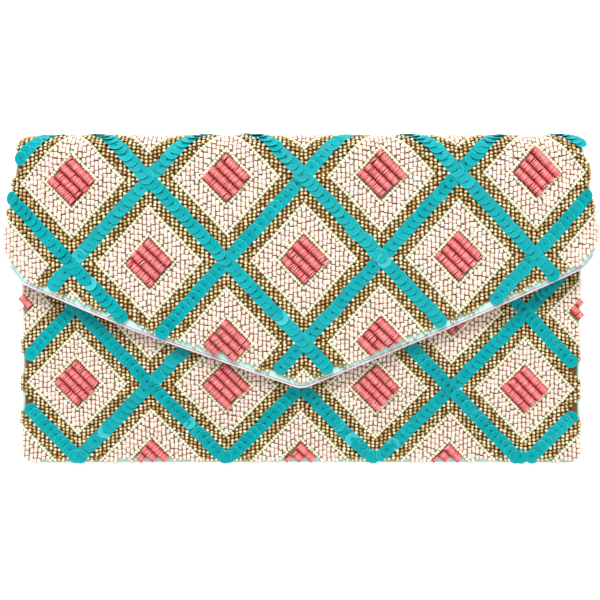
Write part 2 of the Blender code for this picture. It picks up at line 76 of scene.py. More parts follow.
# Edges of the skin, as (s, x) in millimetres, from the flap's tip to the bottom seam
BACK_EDGE = [(84.0, 122.0), (96.0, 124.8), (101.0, 125.6), (225.1, 125.6), (227.9, 124.5),
             (229.5, 122.6), (230.1, 120.6)]
LEFT_EDGE = [(-37.8, -1.5), (-13.3, -71.5), (8.0, -123.0), (14.0, -127.4), (19.0, -130.0),
             (24.0, -131.0), (32.0, -130.3), (70.0, -123.5)] + [(s, -x) for s, x in BACK_EDGE]
RIGHT_EDGE = [(-37.8, 1.5), (-13.2, 60.5), (14.9, 124.5), (18.5, 127.8), (22.5, 130.2),
              (27.0, 131.0), (34.0, 130.3), (70.0, 123.5)] + BACK_EDGE
FLAP_LOWER_EDGE = [(-129.0, 15.5), (-123.0, 8.0), (-71.5, -13.3), (-1.5, -37.8), (1.5, -37.8),
                   (60.5, -13.2), (124.5, 14.9), (129.6, 20.5)]
CORNER_RADIUS = 5.0 * MM
FAR = 1.0  # stands for a distance to an edge that isn't near

# Cloth. Linings lie under the cloth's outer face, and come up to the cloth at their edges.
THICKNESS = {"ground_cloth": 0.45 * MM, "lining_satin": 0.3 * MM}
LINING_DEPTH = 2.1 * MM
LINING_EDGE_DEPTH = 0.6 * MM
LINING_TUCK = 8 * MM  # over how much a lining comes up at its edge
FACING_TUCK = 3.0 * MM  # the same under the flap
LINING_INSET = 2.5 * MM
FACING_INSET = 1.0 * MM
FOLD_EASE = 1.0 * MM  # how much nearer the cloth a lining lies in the fold
FOLD_EASE_REACH = 22 * MM
POCKET_HALF = 50 * MM
POCKET_MOUTH = FOLD_END + FOLD_Y - 25 * MM
POCKET_FOOT = FOLD_END + FOLD_Y + 45 * MM
POCKET_DEPTH = 2.45 * MM
STITCH_STEP = 2.6 * MM
PIPING_RADIUS = 0.52 * MM

# Beads. A depth is the distance from the centre line of the nearest sequin band.
GOLD_DEPTHS = [3.5 * MM, 4.55 * MM, 5.6 * MM, 6.65 * MM]
GOLD_COLUMN = 1.86 * MM
GOLD_SPACING = 1.55 * MM  # along one of the upright strings
GOLD_HEIGHT = 0.88 * MM
PEARL_DEPTH = 8.1 * MM
PEARL_PITCH = 1.45 * MM
PEARL_HEIGHT = 0.84 * MM
BUGLE_DEPTH = 8.9 * MM
BUGLE_COLUMN = 1.82 * MM
BUGLE_LENGTH = 2.2 * MM
BUGLE_HEIGHT = 0.84 * MM
SEQUIN_RADIUS = 3.2 * MM
SEQUIN_PITCH = 3.2 * MM
SEQUIN_LEAN = math.radians(6)
SEQUIN_HEIGHT = 1.3 * MM
CORAL_RADIUS = 1.9 * MM
CORAL_PITCH = 0.56 * MM
CORAL_ROW_WIDTH = 3.8 * MM
CORAL_SPREAD = (-2, 2)  # discs more or fewer in a row
CORAL_TOP = 3.5 * MM
CORAL_DIRECTION = math.radians(-45)
FALLEN_SHARE = 0.07  # of the coral discs
LIFTED_SHARE = 0.03  # of the sequins
FRONT_BEADS_TOP = 57.0 * MM
FRONT_FLOORS = {"sequin": (BOTTOM_Y + 2.5 * MM, 3.2 * MM), "gold": (BOTTOM_Y + 0.9 * MM, 1.6 * MM)}

# Regions of the skin's beadwork, as (name, lowest s, highest s, body or bodies)
SKIN_REGIONS = [
    ("flap", -60.0 * MM, 55.0 * MM, ("flap",)),
    ("fold_front", 55.0 * MM, FOLD_MIDDLE, ("spine", "flap")),
    ("fold_rear", FOLD_MIDDLE, 102.0 * MM, ("bag", "spine")),
    ("back_upper", 102.0 * MM, 168.0 * MM, ("bag",)),
    ("back_lower", 168.0 * MM, 250.0 * MM, ("bag",)),
]


class Lattice(NamedTuple):
    """A diamond lattice: the place of one crossing, the distances between crossings, and how
    much the rows of crossings climb along x."""
    x: float
    s: float
    step_x: float
    step_s: float
    climb: float

    def steepness(self):
        """How many bands are crossed per metre, square to a band."""
        return math.hypot(1 / self.step_x, 1 / self.step_s)

    def centre_depth(self):
        return 0.5 / self.steepness()

    def depth(self, x, s):
        """Distance from the nearest band's centre line."""
        across = (x - self.x) / self.step_x
        up = (s - self.climb * (x - self.x) - self.s) / self.step_s
        rising, falling = across - up, across + up
        nearest = np.minimum(np.abs(rising - np.round(rising)), np.abs(falling - np.round(falling)))
        return nearest / self.steepness()

    def places(self, shift, reach=8):
        """Crossings for a shift of 0, and diamond centres for a shift of a half."""
        steps = np.arange(-reach, reach + 1) + shift
        rising, falling = np.meshgrid(steps, steps)
        x = self.x + self.step_x * (falling + rising) / 2
        s = self.s + self.step_s * (falling - rising) / 2
        return x.ravel(), s.ravel()

    def climbed(self, beads):
        """Moves beads that were laid out on a level lattice on to the climbing one."""
        beads["s"] += self.climb * (beads["x"] - self.x)
        return beads


class Block(NamedTuple):
    """What is in the middle of a diamond: how many rows of coral discs, the distances from the
    centre of the pearls and the bugles round them, and how far the rows are moved in and up."""
    rows: int
    pearl_ring: float
    bugle_ring: float
    moved_in: float
    moved_up: float


WHOLE = Block(4, 8.35 * MM, 9.2 * MM, 0.0, 0.0)
LOW = Block(3, 7.3 * MM, 8.15 * MM, 0.0, 1.2 * MM)  # cut by the front's bottom edge
SIDE = Block(4, 10.4 * MM, 11.2 * MM, 2.6 * MM, 1.4 * MM)  # cut by the front's side edges
PLAIN = Block(0, 0.0, 0.0, 0.0, 0.0)  # bugles all over
SKIN_LATTICE = Lattice(1.0 * MM, 53.4 * MM, 67.0 * MM, 72.0 * MM, 0.0205)
FRONT_LATTICE = Lattice(-0.35 * MM, -38.5 * MM, 66.9 * MM, 68.6 * MM, -0.014)
FOLD_DIAMOND_S = SKIN_LATTICE.s + SKIN_LATTICE.step_s / 2


# ---- surfaces

def pinched(z, x):
    """Draws a height towards the seam height near the two ends of the purse."""
    return PINCH_Z + (z - PINCH_Z) * (1 - PINCH * np.abs(x / HALF_WIDTH) ** EDGE_POWER)


def skin(x, s, h):
    """Points h outside the skin of the flap, the fold and the back."""
    x, s, h = np.broadcast_arrays(x, s, h)
    turn = np.clip((s - FOLD_Y) / FOLD_RADIUS, 0, math.pi)
    on_flap = np.minimum(s - FOLD_Y, 0)
    on_back = np.maximum(s - FOLD_END, 0)
    sag = TIP_SAG * (on_flap / (TIP_Y - FOLD_Y)) ** 2
    rise = BOTTOM_RISE * (on_back / (FOLD_Y - BOTTOM_Y)) ** EDGE_POWER
    y = FOLD_Y + on_flap - on_back + (FOLD_RADIUS + h) * np.sin(turn)
    z = pinched(FOLD_Z + FOLD_RADIUS * np.cos(turn) - sag + rise, x) + h * np.cos(turn)
    return np.stack([x, y, z], axis=-1)


def front(x, y, h):
    """Points h outside the front cloth."""
    x, y, h = np.broadcast_arrays(x, y, h)
    rise = np.clip((y - BOTTOM_Y) / (MOUTH_Y - BOTTOM_Y), 0, 1)
    swell = (1 - (1 - rise) ** SWELL_POWER) * (1 - MOUTH_DROP * rise ** 2)
    across = 1 - np.minimum(1.0, np.abs(x / HALF_WIDTH)) ** CROWN_POWER
    reach = np.maximum(0.0, (FOLD_Y - y) / (FOLD_Y - BOTTOM_Y))
    back = pinched(BACK_Z + BOTTOM_RISE * reach ** EDGE_POWER, x)
    return np.stack([x, y, back + SEAM_STACK + LOFT * across * swell + h], axis=-1)


def normalised(vectors):
    return vectors / np.linalg.norm(vectors, axis=-1, keepdims=True)


def surface_frames(place, x, s, h):
    """Points on a surface, and the three directions there: along x, along s and outwards."""
    step = 0.5 * MM
    along_x = normalised(place(x + step, s, h) - place(x - step, s, h))
    along_s = place(x, s + step, h) - place(x, s - step, h)
    outwards = normalised(np.cross(along_x, along_s))
    return place(x, s, h), along_x, np.cross(outwards, along_x), outwards


def edge_x(edge, s):
    """The x of one edge of the skin at s."""
    stations, places = np.array(edge).T * MM
    return np.interp(s, stations, places)


def skin_edges(s, inset=0.0):
    """The skin's left and right edges at s, moved in by an inset."""
    return edge_x(LEFT_EDGE, s) + inset, edge_x(RIGHT_EDGE, s) - inset


def from_sides(x, s):
    """Distance in from the nearer side edge of the skin."""
    left, right = skin_edges(s)
    return np.minimum(x - left, right - x)


def from_lower_edge(x, s):
    """Distance in from the flap's lower edge, a chain of lines that is convex downwards."""
    chain = np.array(FLAP_LOWER_EDGE) * MM
    distances = []
    for (ax, ay), (bx, by) in zip(chain, chain[1:]):
        length = math.hypot(bx - ax, by - ay)
        distances.append(((bx - ax) * (s - ay) - (by - ay) * (x - ax)) / length)
    return np.where(s > FOLD_Y, FAR, np.min(distances, axis=0))


def skin_limits(s, side_margin, back_margin):
    """The lowest and highest x inside the skin's edges by the margins."""
    return skin_edges(s, np.where(s < FOLD_END, side_margin, back_margin))


def skin_room(x, s, lower_margin, side_margin, back_margin):
    """True where a place on the skin is inside its edges by the margins."""
    left, right = skin_limits(s, side_margin, back_margin)
    above = from_lower_edge(x, s) > lower_margin
    return (x >= left) & (x <= right) & above & (s < BACK_END - back_margin)


def front_room(x, y, side_margin, bottom_margin):
    """True where a place on the front is inside its edges, under its top and clear of the snap."""
    side, bottom = HALF_WIDTH - side_margin - np.abs(x), y - BOTTOM_Y - bottom_margin
    past = np.hypot(np.maximum(CORNER_RADIUS - side, 0), np.maximum(CORNER_RADIUS - bottom, 0))
    inside = np.minimum(np.minimum(side, bottom), CORNER_RADIUS - past) >= 0
    clear = np.hypot(x, y - SNAP_Y) > SNAP_RADIUS + 0.6 * MM
    return inside & (y < FRONT_BEADS_TOP) & clear


# ---- meshes from arrays

def placed(name, data):
    """A new object in the scene."""
    made = bpy.data.objects.new(name, data)
    bpy.context.scene.collection.objects.link(made)
    return made


def add_object(name, mesh, finish):
    """A new piece in one of the finishes."""
    made = placed(name, mesh)
    mesh.materials.append(FINISHES[finish])
    return made


def array_mesh(name, points, corners, sizes, smooth, uv=None, tint=None):
    """A mesh from arrays: points, every face's corners in a row, and each face's corner count."""
    mesh = bpy.data.meshes.new(name)
    mesh.vertices.add(len(points))
    mesh.vertices.foreach_set("co", np.asarray(points, np.float32).ravel())
    mesh.loops.add(len(corners))
    mesh.loops.foreach_set("vertex_index", np.asarray(corners, np.int32))
    mesh.polygons.add(len(sizes))
    starts = np.concatenate([[0], np.cumsum(sizes)[:-1]])
    mesh.polygons.foreach_set("loop_start", starts.astype(np.int32))
    mesh.polygons.foreach_set("use_smooth", np.broadcast_to(smooth, len(sizes)))
    mesh.update(calc_edges=True)
    if uv is not None:
        layer = mesh.uv_layers.new(name="OFBake")
        layer.uv.foreach_set("vector", np.asarray(uv[corners], np.float32).ravel())
    if tint is not None:
        attribute = mesh.attributes.new("tint", "FLOAT", "POINT")
        attribute.data.foreach_set("value", np.asarray(tint, np.float32))
    return mesh


def unit_square(flat):
    """Places on a panel, as texture coordinates from 0 to 1."""
    low, high = flat.min(axis=0), flat.max(axis=0)
    return (flat - low) / (high - low)


class Shape(NamedTuple):
    """A template: its points, its faces' corners in a row, corner counts and smooth flags, and a
    painted shade for each point, from 0 where the bead is painted darkest to 1 where it is lightest."""
    points: np.ndarray
    corners: np.ndarray
    sizes: np.ndarray
    smooth: np.ndarray
    shade: np.ndarray


def swept_faces(rings, segments, closed):
    """Faces of a swept shape, with its last ring joined to its first or its two ends capped."""
    faces = []
    for ring in range(rings if closed else rings - 1):
        below = (ring + 1) % rings
        for i in range(segments):
            j = (i + 1) % segments
            faces.append([ring * segments + i, below * segments + i,
                          below * segments + j, ring * segments + j])
    if not closed:
        faces.append(list(range(segments)))
        faces.append(list(reversed(range((rings - 1) * segments, rings * segments))))
    return faces


def lathe(profile, segments, closed=True, lobes=0, lobe_height=0.0):
    """A profile of (radius, height) swept round Z, its ends joined or capped."""
    profile = np.array(profile, float)
    angles = np.arange(segments) * 2 * math.pi / segments
    radius, height = profile.T
    x = radius[:, None] * np.cos(angles)
    y = radius[:, None] * np.sin(angles)
    waves = lobe_height * np.cos(lobes * angles)[None, :] * (radius / radius.max())[:, None]
    points = np.stack([x, y, height[:, None] + waves], axis=-1).reshape(-1, 3)
    faces = swept_faces(len(profile), segments, closed)
    sizes = np.array([len(face) for face in faces])
    return Shape(points, np.concatenate(faces), sizes, sizes == 4, np.ones(len(points)))


def along_thread(shape):
    """Turns a template from standing on Z to lying along X, with painted shade that darkens it towards its
    underside and a painted highlight on its top.
    """
    points = shape.points[:, [2, 0, 1]]
    height = points[:, 2]
    return shape._replace(points=points, shade=(height - height.min()) / (height.max() - height.min()))


def seed_bead(radius, length, hole, segments=8):
    """A round glass bead with a hole along its thread."""
    middle, half = (radius + hole) / 2, (radius - hole) / 2
    turns = [math.radians(90 - 72 * i) for i in range(5)]
    profile = [(middle + half * math.sin(t), length / 2 * math.cos(t)) for t in turns]
    return along_thread(lathe(profile, segments))


def bugle_bead(radius, length):
    """A short glass tube with slightly softened ends, and painted shade on its ends, where bugles meet."""
    end, soft = length / 2, 0.16 * MM
    profile = [(radius * 0.45, end), (radius * 0.84, end), (radius, end - soft),
               (radius, soft - end), (radius * 0.84, -end), (radius * 0.45, -end)]
    bead = along_thread(lathe(profile, 8, closed=False))
    # Painted shade on the ends, where the gaps between bugles lie.
    at_end = np.abs(bead.points[:, 0]) > end - soft / 2
    return bead._replace(shade=np.where(at_end, 0.3, bead.shade))


def coral_disc(radius, thickness):
    """A flat disc with a soft rim, standing on its edge."""
    face, rim = thickness / 2, thickness * 0.22
    profile = [(radius - 0.2 * MM, face), (radius - 0.04 * MM, rim), (radius - 0.04 * MM, -rim),
               (radius - 0.2 * MM, -face)]
    return along_thread(lathe(profile, 16, closed=False))


def cup_sequin(radius):
    """A thin shallow cup with a hole in its middle, a painted highlight on its edge and painted shade round
    its hole.
    """
    profile = [(radius, 0.09), (radius * 0.91, 0.05), (radius * 0.7, -0.02), (radius * 0.35, -0.12),
               (0.28 * MM, -0.15), (0.28 * MM, -0.21), (radius * 0.7, -0.08), (radius, 0.02)]
    # Painted light, ring by ring: a painted highlight on the rim, painted shade round the hole and
    # underneath.
    shades = [1.0, 0.5, 0.5, 0.45, 0.25, 0.25, 0.3, 0.6]
    segments = 22
    heights = [(r, height * MM) for r, height in profile[::-1]]
    cup = lathe(heights, segments, lobes=11, lobe_height=0.008 * MM)
    return cup._replace(shade=np.repeat(shades[::-1], segments))


def stitch(radius, length):
    """One stitch of thread."""
    end = length / 2
    profile = [(radius * 0.4, end), (radius * 0.9, end * 0.8), (radius, 0), (radius * 0.9, -end * 0.8),
               (radius * 0.4, -end)]
    return along_thread(lathe(profile, 6, closed=False))


# ---- beads on a surface

FIELDS = ["x", "s", "h", "turn", "lean", "size", "stretch", "tint"]
# The rest of a bead's tint is the template's painted shade and highlight.
VARIETY = 0.2  # share of a bead's tint that differs from bead to bead


def beads_at(x, s, h, turn, lean=0.0, size=1.0, stretch=1.0):
    """A table of beads: place, height, turn about the outward axis, lean, size, stretch along the
    thread and a random tint."""
    values = np.broadcast_arrays(x, s, h, turn, lean, size, stretch, 0.0)
    table = np.zeros(values[0].size, dtype=[(field, float) for field in FIELDS])
    for field, value in zip(FIELDS, values):
        table[field] = value.ravel()
    table["tint"] = rng.random(len(table))
    return table


def shaken(beads, slide=0.0, lift=0.0, turn=0.0, lean=0.0, size=0.0):
    """Small hand-made unevenness, as the spread of each value."""
    for field, spread in (("x", slide), ("s", slide), ("h", lift), ("turn", turn), ("lean", lean)):
        beads[field] += rng.normal(0, 1, len(beads)) * spread
    beads["size"] *= 1 + rng.normal(0, 1, len(beads)) * size
    return beads


def scatter(name, shape, finish, beads, place):
    """One piece that holds a copy of the template for each bead in the table."""
    centre, along_x, along_s, outwards = surface_frames(place, beads["x"], beads["s"], beads["h"])
    turn_cos, turn_sin = np.cos(beads["turn"])[:, None], np.sin(beads["turn"])[:, None]
    lean_cos, lean_sin = np.cos(beads["lean"])[:, None], np.sin(beads["lean"])[:, None]
    level = along_x * turn_cos + along_s * turn_sin
    side = along_s * turn_cos - along_x * turn_sin
    directions = (level * lean_cos - outwards * lean_sin, side, level * lean_sin + outwards * lean_cos)
    local = shape.points[None] * beads["size"][:, None, None]
    local[..., 0] *= beads["stretch"][:, None]
    points = centre[:, None, :] + sum(
        local[..., axis, None] * directions[axis][:, None, :] for axis in range(3))
    flat_x = beads["x"][:, None] + local[..., 0] * turn_cos * lean_cos - local[..., 1] * turn_sin
    flat_s = beads["s"][:, None] + local[..., 0] * turn_sin * lean_cos + local[..., 1] * turn_cos
    uv = unit_square(np.stack([flat_x.ravel(), flat_s.ravel()], axis=-1))
    count, points_each = len(beads), len(shape.points)
    corners = (shape.corners[None] + np.arange(count)[:, None] * points_each).ravel()
    # Each point's tint: the bead's random tint mixed with the template's painted shade and highlight.
    tints_with_shade = (VARIETY * beads["tint"][:, None] + (1 - VARIETY) * shape.shade[None]).ravel()
    mesh = array_mesh(name, points.reshape(-1, 3), corners, np.tile(shape.sizes, count),
                      np.tile(shape.smooth, count), uv, tints_with_shade)
    return add_object(name, mesh, finish)


def ring_halves(lattice, depth):
    """Half the width and half the height of the line round a diamond at one depth."""
    share = 1 - depth / lattice.centre_depth()
    return lattice.step_x / 2 * share, lattice.step_s / 2 * share


def ring_offsets(lattice, depth, pitch):
    """Places round one diamond at one depth, from the diamond's centre, and the way the line runs."""
    half_x, half_s = ring_halves(lattice, depth)
    corners = np.array([(half_x, 0), (0, half_s), (-half_x, 0), (0, -half_s), (half_x, 0)])
    count = max(1, round(math.hypot(half_x, half_s) / pitch))
    steps = (np.arange(count) / count)[:, None]
    offsets, turns = [], []
    for start, end in zip(corners, corners[1:]):
        offsets.append(start + (end - start) * steps)
        turns.append(np.full(count, math.atan2(*(end - start)[::-1])))
    return np.concatenate(offsets), np.concatenate(turns)


def round_each(centres, offsets):
    """Every offset at every centre."""
    x, s = centres
    return (x[:, None] + offsets[None, :, 0]).ravel(), (s[:, None] + offsets[None, :, 1]).ravel()


def gold_beads(lattice, centres):
    """Short upright strings of beads that step along both sides of every sequin band."""
    columns = (np.arange(20) + 0.5) * GOLD_COLUMN
    quarter = []
    for depth in GOLD_DEPTHS:
        half_x, half_s = ring_halves(lattice, depth)
        s = half_s * (1 - columns / half_x)
        quarter.append(np.stack([columns, s], axis=-1)[s > -GOLD_SPACING / 2])
    quarter = np.concatenate(quarter)
    quarter[quarter[:, 1] < 0.3 * GOLD_SPACING, 1] = 0.0
    offsets = np.concatenate([quarter * sides for sides in ((1, 1), (-1, 1), (-1, -1), (1, -1))])
    offsets = np.unique(np.round(offsets, 7) + 0.0, axis=0)
    beads = beads_at(*round_each(centres, offsets), GOLD_HEIGHT, math.radians(90))
    return shaken(beads, slide=0.1 * MM, lift=0.08 * MM, turn=0.2, lean=0.14, size=0.06)


def pearl_beads(lattice, diamonds):
    """A line outside the gold, and one round each coral block."""
    lines = [(centres, PEARL_DEPTH) for centres, _ in diamonds]
    for centres, block in diamonds:
        if block.rows:
            lines.append((centres, lattice.centre_depth() - block.pearl_ring))
    beads = []
    for around, depth in lines:
        offsets, turns = ring_offsets(lattice, depth, PEARL_PITCH)
        x, s = round_each(around, offsets)
        beads.append(beads_at(x, s, PEARL_HEIGHT, np.tile(turns, len(around[0]))))
    return shaken(np.concatenate(beads), slide=0.07 * MM, lift=0.05 * MM, turn=0.2, lean=0.1, size=0.05)


def bugle_beads(lattice, centres, ring):
    """Bugles strung upright in columns, from the outer pearls in to a ring round the centre."""
    slope = lattice.step_s / lattice.step_x
    outer = ring_halves(lattice, BUGLE_DEPTH)[1]
    inner = ring_halves(lattice, lattice.centre_depth() - ring)[1]
    strings = []
    for x in np.arange(-20, 21) * BUGLE_COLUMN:
        top, foot = outer - slope * abs(x), inner - slope * abs(x)
        if foot > 0:
            strings += [(x, foot, top), (x, -top, -foot)]
        elif top > 0.6 * MM:
            strings.append((x, -top, top))
    tables = []
    for centre_x, centre_s in zip(*centres):
        for x, low, high in strings:
            count = max(1, round((high - low) / BUGLE_LENGTH))
            cuts = (np.arange(count + 1) + rng.normal(0, 0.09, count + 1)) / count
            cuts[0], cuts[-1] = 0, 1
            cuts = centre_s + low + (high - low) * cuts
            middles = (cuts[1:] + cuts[:-1]) / 2
            tables.append(beads_at(centre_x + x, middles, BUGLE_HEIGHT, math.radians(90),
                                   stretch=np.diff(cuts) / BUGLE_LENGTH))
    return shaken(np.concatenate(tables), slide=0.12 * MM, lift=0.08 * MM, turn=0.09, lean=0.05, size=0.03)


def coral_discs(centres, block):
    """Rows of discs stood on edge in each diamond, some of them leaning over. The rows are as long
    as all of them are wide."""
    rows = []
    across = (np.arange(block.rows) - (block.rows - 1) / 2) * CORAL_ROW_WIDTH
    cos, sin = math.cos(CORAL_DIRECTION), math.sin(CORAL_DIRECTION)
    for x, s in zip(*centres):
        for offset in across:
            count = round(block.rows * CORAL_ROW_WIDTH / CORAL_PITCH) + rng.integers(*CORAL_SPREAD)
            along = (np.arange(count) - (count - 1) / 2) * CORAL_PITCH + rng.normal(0, 0.4 * MM)
            rows.append(beads_at(x - math.copysign(block.moved_in, x) + along * cos - offset * sin,
                                 s + block.moved_up + along * sin + offset * cos,
                                 CORAL_TOP - CORAL_RADIUS, CORAL_DIRECTION))
    discs = np.concatenate(rows)
    fallen = rng.random(len(discs)) < FALLEN_SHARE
    discs["lean"] += fallen * rng.choice([-1, 1], len(discs)) * 0.25
    discs["turn"] += fallen * rng.choice([-1, 1], len(discs)) * 0.12
    discs = shaken(discs, slide=0.04 * MM, turn=0.05, lean=0.06, size=0.015)
    discs["size"] = np.minimum(discs["size"], 1.02)
    return discs


def band_sequins(lattice, rising_way, falling_way):
    """Shingled sequins along every band, the falling bands over the rising ones where they cross.
    A way gives the side of the free end, band by band."""
    bands = []
    x, s = lattice.places(0)
    half = np.array([lattice.step_x / 2, lattice.step_s / 2])
    count = round(math.hypot(*half) / SEQUIN_PITCH)
    along = np.arange(count) + 0.5
    under = along[(along > 0.9) & (along < count - 0.9)]
    for slope, way, steps in ((1, rising_way, under), (-1, falling_way, along)):
        line = np.round((x - lattice.x) / lattice.step_x - slope * (s - lattice.s) / lattice.step_s)
        free_end = np.array([way(int(k)) for k in line])
        row_x = (x[:, None] + half[0] * steps / count).ravel()
        row_s = (s[:, None] + slope * half[1] * steps / count).ravel()
        lean = np.repeat(-free_end * SEQUIN_LEAN, len(steps))
        height = SEQUIN_HEIGHT if slope > 0 else SEQUIN_HEIGHT + 0.2 * MM
        bands.append(beads_at(row_x, row_s, height, math.atan2(slope * half[1], half[0]), lean))
    sequins = np.concatenate(bands)
    lifted = rng.random(len(sequins)) < LIFTED_SHARE
    sequins["lean"] += lifted * rng.normal(0, 0.2, len(sequins))
    # Painted glint: a lifted sequin gets a paler tint.
    sequins["tint"] += lifted
    return shaken(sequins, slide=0.2 * MM, lift=0.06 * MM, turn=0.3, lean=0.03, size=0.02)


# ---- beadwork of each panel

TEMPLATES = {
    "gold": seed_bead(0.93 * MM, 1.48 * MM, 0.22 * MM),
    "pearl": seed_bead(0.94 * MM, 1.50 * MM, 0.2 * MM),
    "bugle": bugle_bead(0.87 * MM, BUGLE_LENGTH - 0.14 * MM),
    "coral": coral_disc(CORAL_RADIUS, 0.5 * MM),
    "sequin": cup_sequin(SEQUIN_RADIUS),
}
# How far a bead's centre stays inside the flap's lower edge, the skin's side edges on the flap and
# the fold, and the edges of the back, in millimetres
MARGINS = {
    "gold": (1.4, -0.6, 0.3),
    "pearl": (1.4, -0.6, 0.3),
    "bugle": (1.9, -0.5, 0.6),
    "coral": (2.2, 0.4, 1.6),
    "sequin": (2.5, 0.6, 3.2),
}
# The same for the front's sides and its bottom edge
FRONT_MARGINS = {
    "gold": (-0.2, -0.1),
    "pearl": (0.1, 0.1),
    "bugle": (0.1, 0.3),
    "coral": (-0.6, 0.9),
    "sequin": (2.3, 2.3),
}
# From how far outside the side margins a bead is still moved in, so the outermost gap is closed
SIDE_REACH = {"gold": 0.9 * MM, "pearl": 0.7 * MM, "bugle": 0.9 * MM, "coral": 0.0, "sequin": 0.0}
# What the CAD nodes are called that the beads of a kind and a region stand for
CAD_KINDS = {"bugle": "bead_field", "sequin": "sequin_lattice", "coral": "coral_block"}
CAD_PANELS = {"flap": "flap", "fold_front": "fold", "back_upper": "back", "front_left": "front"}


def alternating(line):
    """One way on every second band, and the other way between."""
    return 1 if line % 2 == 0 else -1


def panel_beads(lattice, chosen, rising_way, falling_way):
    """Every bead of a panel, by kind. For each block, chosen tells which diamonds have it."""
    x, s = lattice.places(0.5)
    diamonds = [((x[here], s[here]), block) for block, here in chosen.items()]
    golds = [gold_beads(lattice, centres) for centres, _ in diamonds]
    bugles = [bugle_beads(lattice, centres, block.bugle_ring) for centres, block in diamonds]
    corals = [coral_discs(centres, block) for centres, block in diamonds if block.rows]
    return {
        "gold": np.concatenate(golds),
        "pearl": pearl_beads(lattice, diamonds),
        "bugle": np.concatenate(bugles),
        "coral": np.concatenate(corals),
        "sequin": band_sequins(lattice, rising_way, falling_way),
    }


def skin_beads():
    """Every bead of the flap, fold and back, by kind."""
    x, s = SKIN_LATTICE.places(0.5)
    plain = (np.abs(s - FOLD_DIAMOND_S) < MM) | (np.abs(x) > HALF_WIDTH)
    return panel_beads(SKIN_LATTICE, {WHOLE: ~plain, PLAIN: plain}, alternating, lambda line: 1)


def front_beads():
    """Every bead of the front, by kind."""
    x, s = FRONT_LATTICE.places(0.5)
    low, side = s < BOTTOM_Y + CORNER_RADIUS, np.abs(x) > HALF_WIDTH
    plain = low & side | (s > FRONT_BEADS_TOP)
    chosen = {LOW: low & ~plain, SIDE: side & ~plain, WHOLE: ~(low | side | plain), PLAIN: plain}
    return panel_beads(FRONT_LATTICE, chosen, alternating, lambda line: -1)


def attach(piece, bodies):
    """Rides on one body, or, where it spans the joint between two, is left unparented with its transform
    baked into its mesh.
    """
    if len(bodies) == 1:
        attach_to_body(piece, bodies[0])
    else:
        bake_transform(piece)


def cad_nodes(region, kind):
    """Names of the CAD nodes that a region's beads of one kind stand for."""
    if region not in CAD_PANELS or kind not in CAD_KINDS:
        return []
    prefix = f"{CAD_PANELS[region]}_{CAD_KINDS[kind]}"
    return sorted(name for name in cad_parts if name.startswith(prefix))


def bead_piece(region, kind, beads, place, bodies):
    """All the beads of one kind on one region."""
    piece = scatter(f"{region}_{kind}", TEMPLATES[kind], kind, beads, place)
    attach(piece, bodies)
    return piece


def pulled_in(values, low, high, reach):
    """Values that are outside the limits by less than a reach are moved on to them."""
    limited = np.clip(values, low, high)
    return np.where(np.abs(values - limited) < reach, limited, values)


def skin_beadwork():
    """The beads of flap, fold and back, one piece for each kind and region."""
    for kind, beads in skin_beads().items():
        margins = np.array(MARGINS[kind]) * MM
        beads = SKIN_LATTICE.climbed(beads)
        limits = skin_limits(beads["s"], *margins[1:])
        beads["x"] = pulled_in(beads["x"], *limits, SIDE_REACH[kind])
        room = beads[skin_room(beads["x"], beads["s"], *margins)]
        for region, low, high, bodies in SKIN_REGIONS:
            here = room[(room["s"] >= low) & (room["s"] < high)]
            if len(here):
                piece = bead_piece(region, kind, here, skin, bodies)
                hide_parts(*cad_nodes(region, kind))


def front_beadwork():
    """The beads of the front, one piece for each kind and half."""
    for kind, beads in front_beads().items():
        beads = FRONT_LATTICE.climbed(beads)
        side_margin, bottom_margin = np.array(FRONT_MARGINS[kind]) * MM
        limit = HALF_WIDTH - side_margin
        beads["x"] = pulled_in(beads["x"], -limit, limit, SIDE_REACH[kind])
        floor, reach = FRONT_FLOORS.get(kind, (BOTTOM_Y, 0.0))
        beads["s"] = pulled_in(beads["s"], floor, MOUTH_Y, reach)
        here = beads[front_room(beads["x"], beads["s"], side_margin, bottom_margin)]
        left = bead_piece("front_left", kind, here[here["x"] < 0], front, ("bag",))
        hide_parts(*cad_nodes("front_left", kind))
        bead_piece("front_right", kind, here[here["x"] >= 0], front, ("bag",))


# ---- cloth

def smooth_step(value):
    """0 up to 0, 1 from 1, and an even curve between."""
    value = np.clip(value, 0, 1)
    return value * value * (3 - 2 * value)


def gap_shade_tint(lattice, x, s, bare):
    """Painted shade on the cloth between the beads: 0 under gold, a half further in, 1 on bare cloth."""
    return np.maximum(0.5 * smooth_step((lattice.depth(x, s) - 6.9 * MM) / (1.0 * MM)), bare)


def cut_size(grid):
    """What a sheet of points was cut to: its widest row, its middle column and its area."""
    width = np.linalg.norm(np.diff(grid, axis=1), axis=-1).sum(axis=1).max()
    length = np.linalg.norm(np.diff(grid[:, grid.shape[1] // 2], axis=0), axis=-1).sum()
    diagonals = grid[1:, 1:] - grid[:-1, :-1], grid[1:, :-1] - grid[:-1, 1:]
    area = np.linalg.norm(np.cross(*diagonals), axis=-1).sum() / 2
    return {"flat": (math.ceil(width * 1e4) / 1e4, math.ceil(length * 1e4) / 1e4), "area": round(area, 6)}


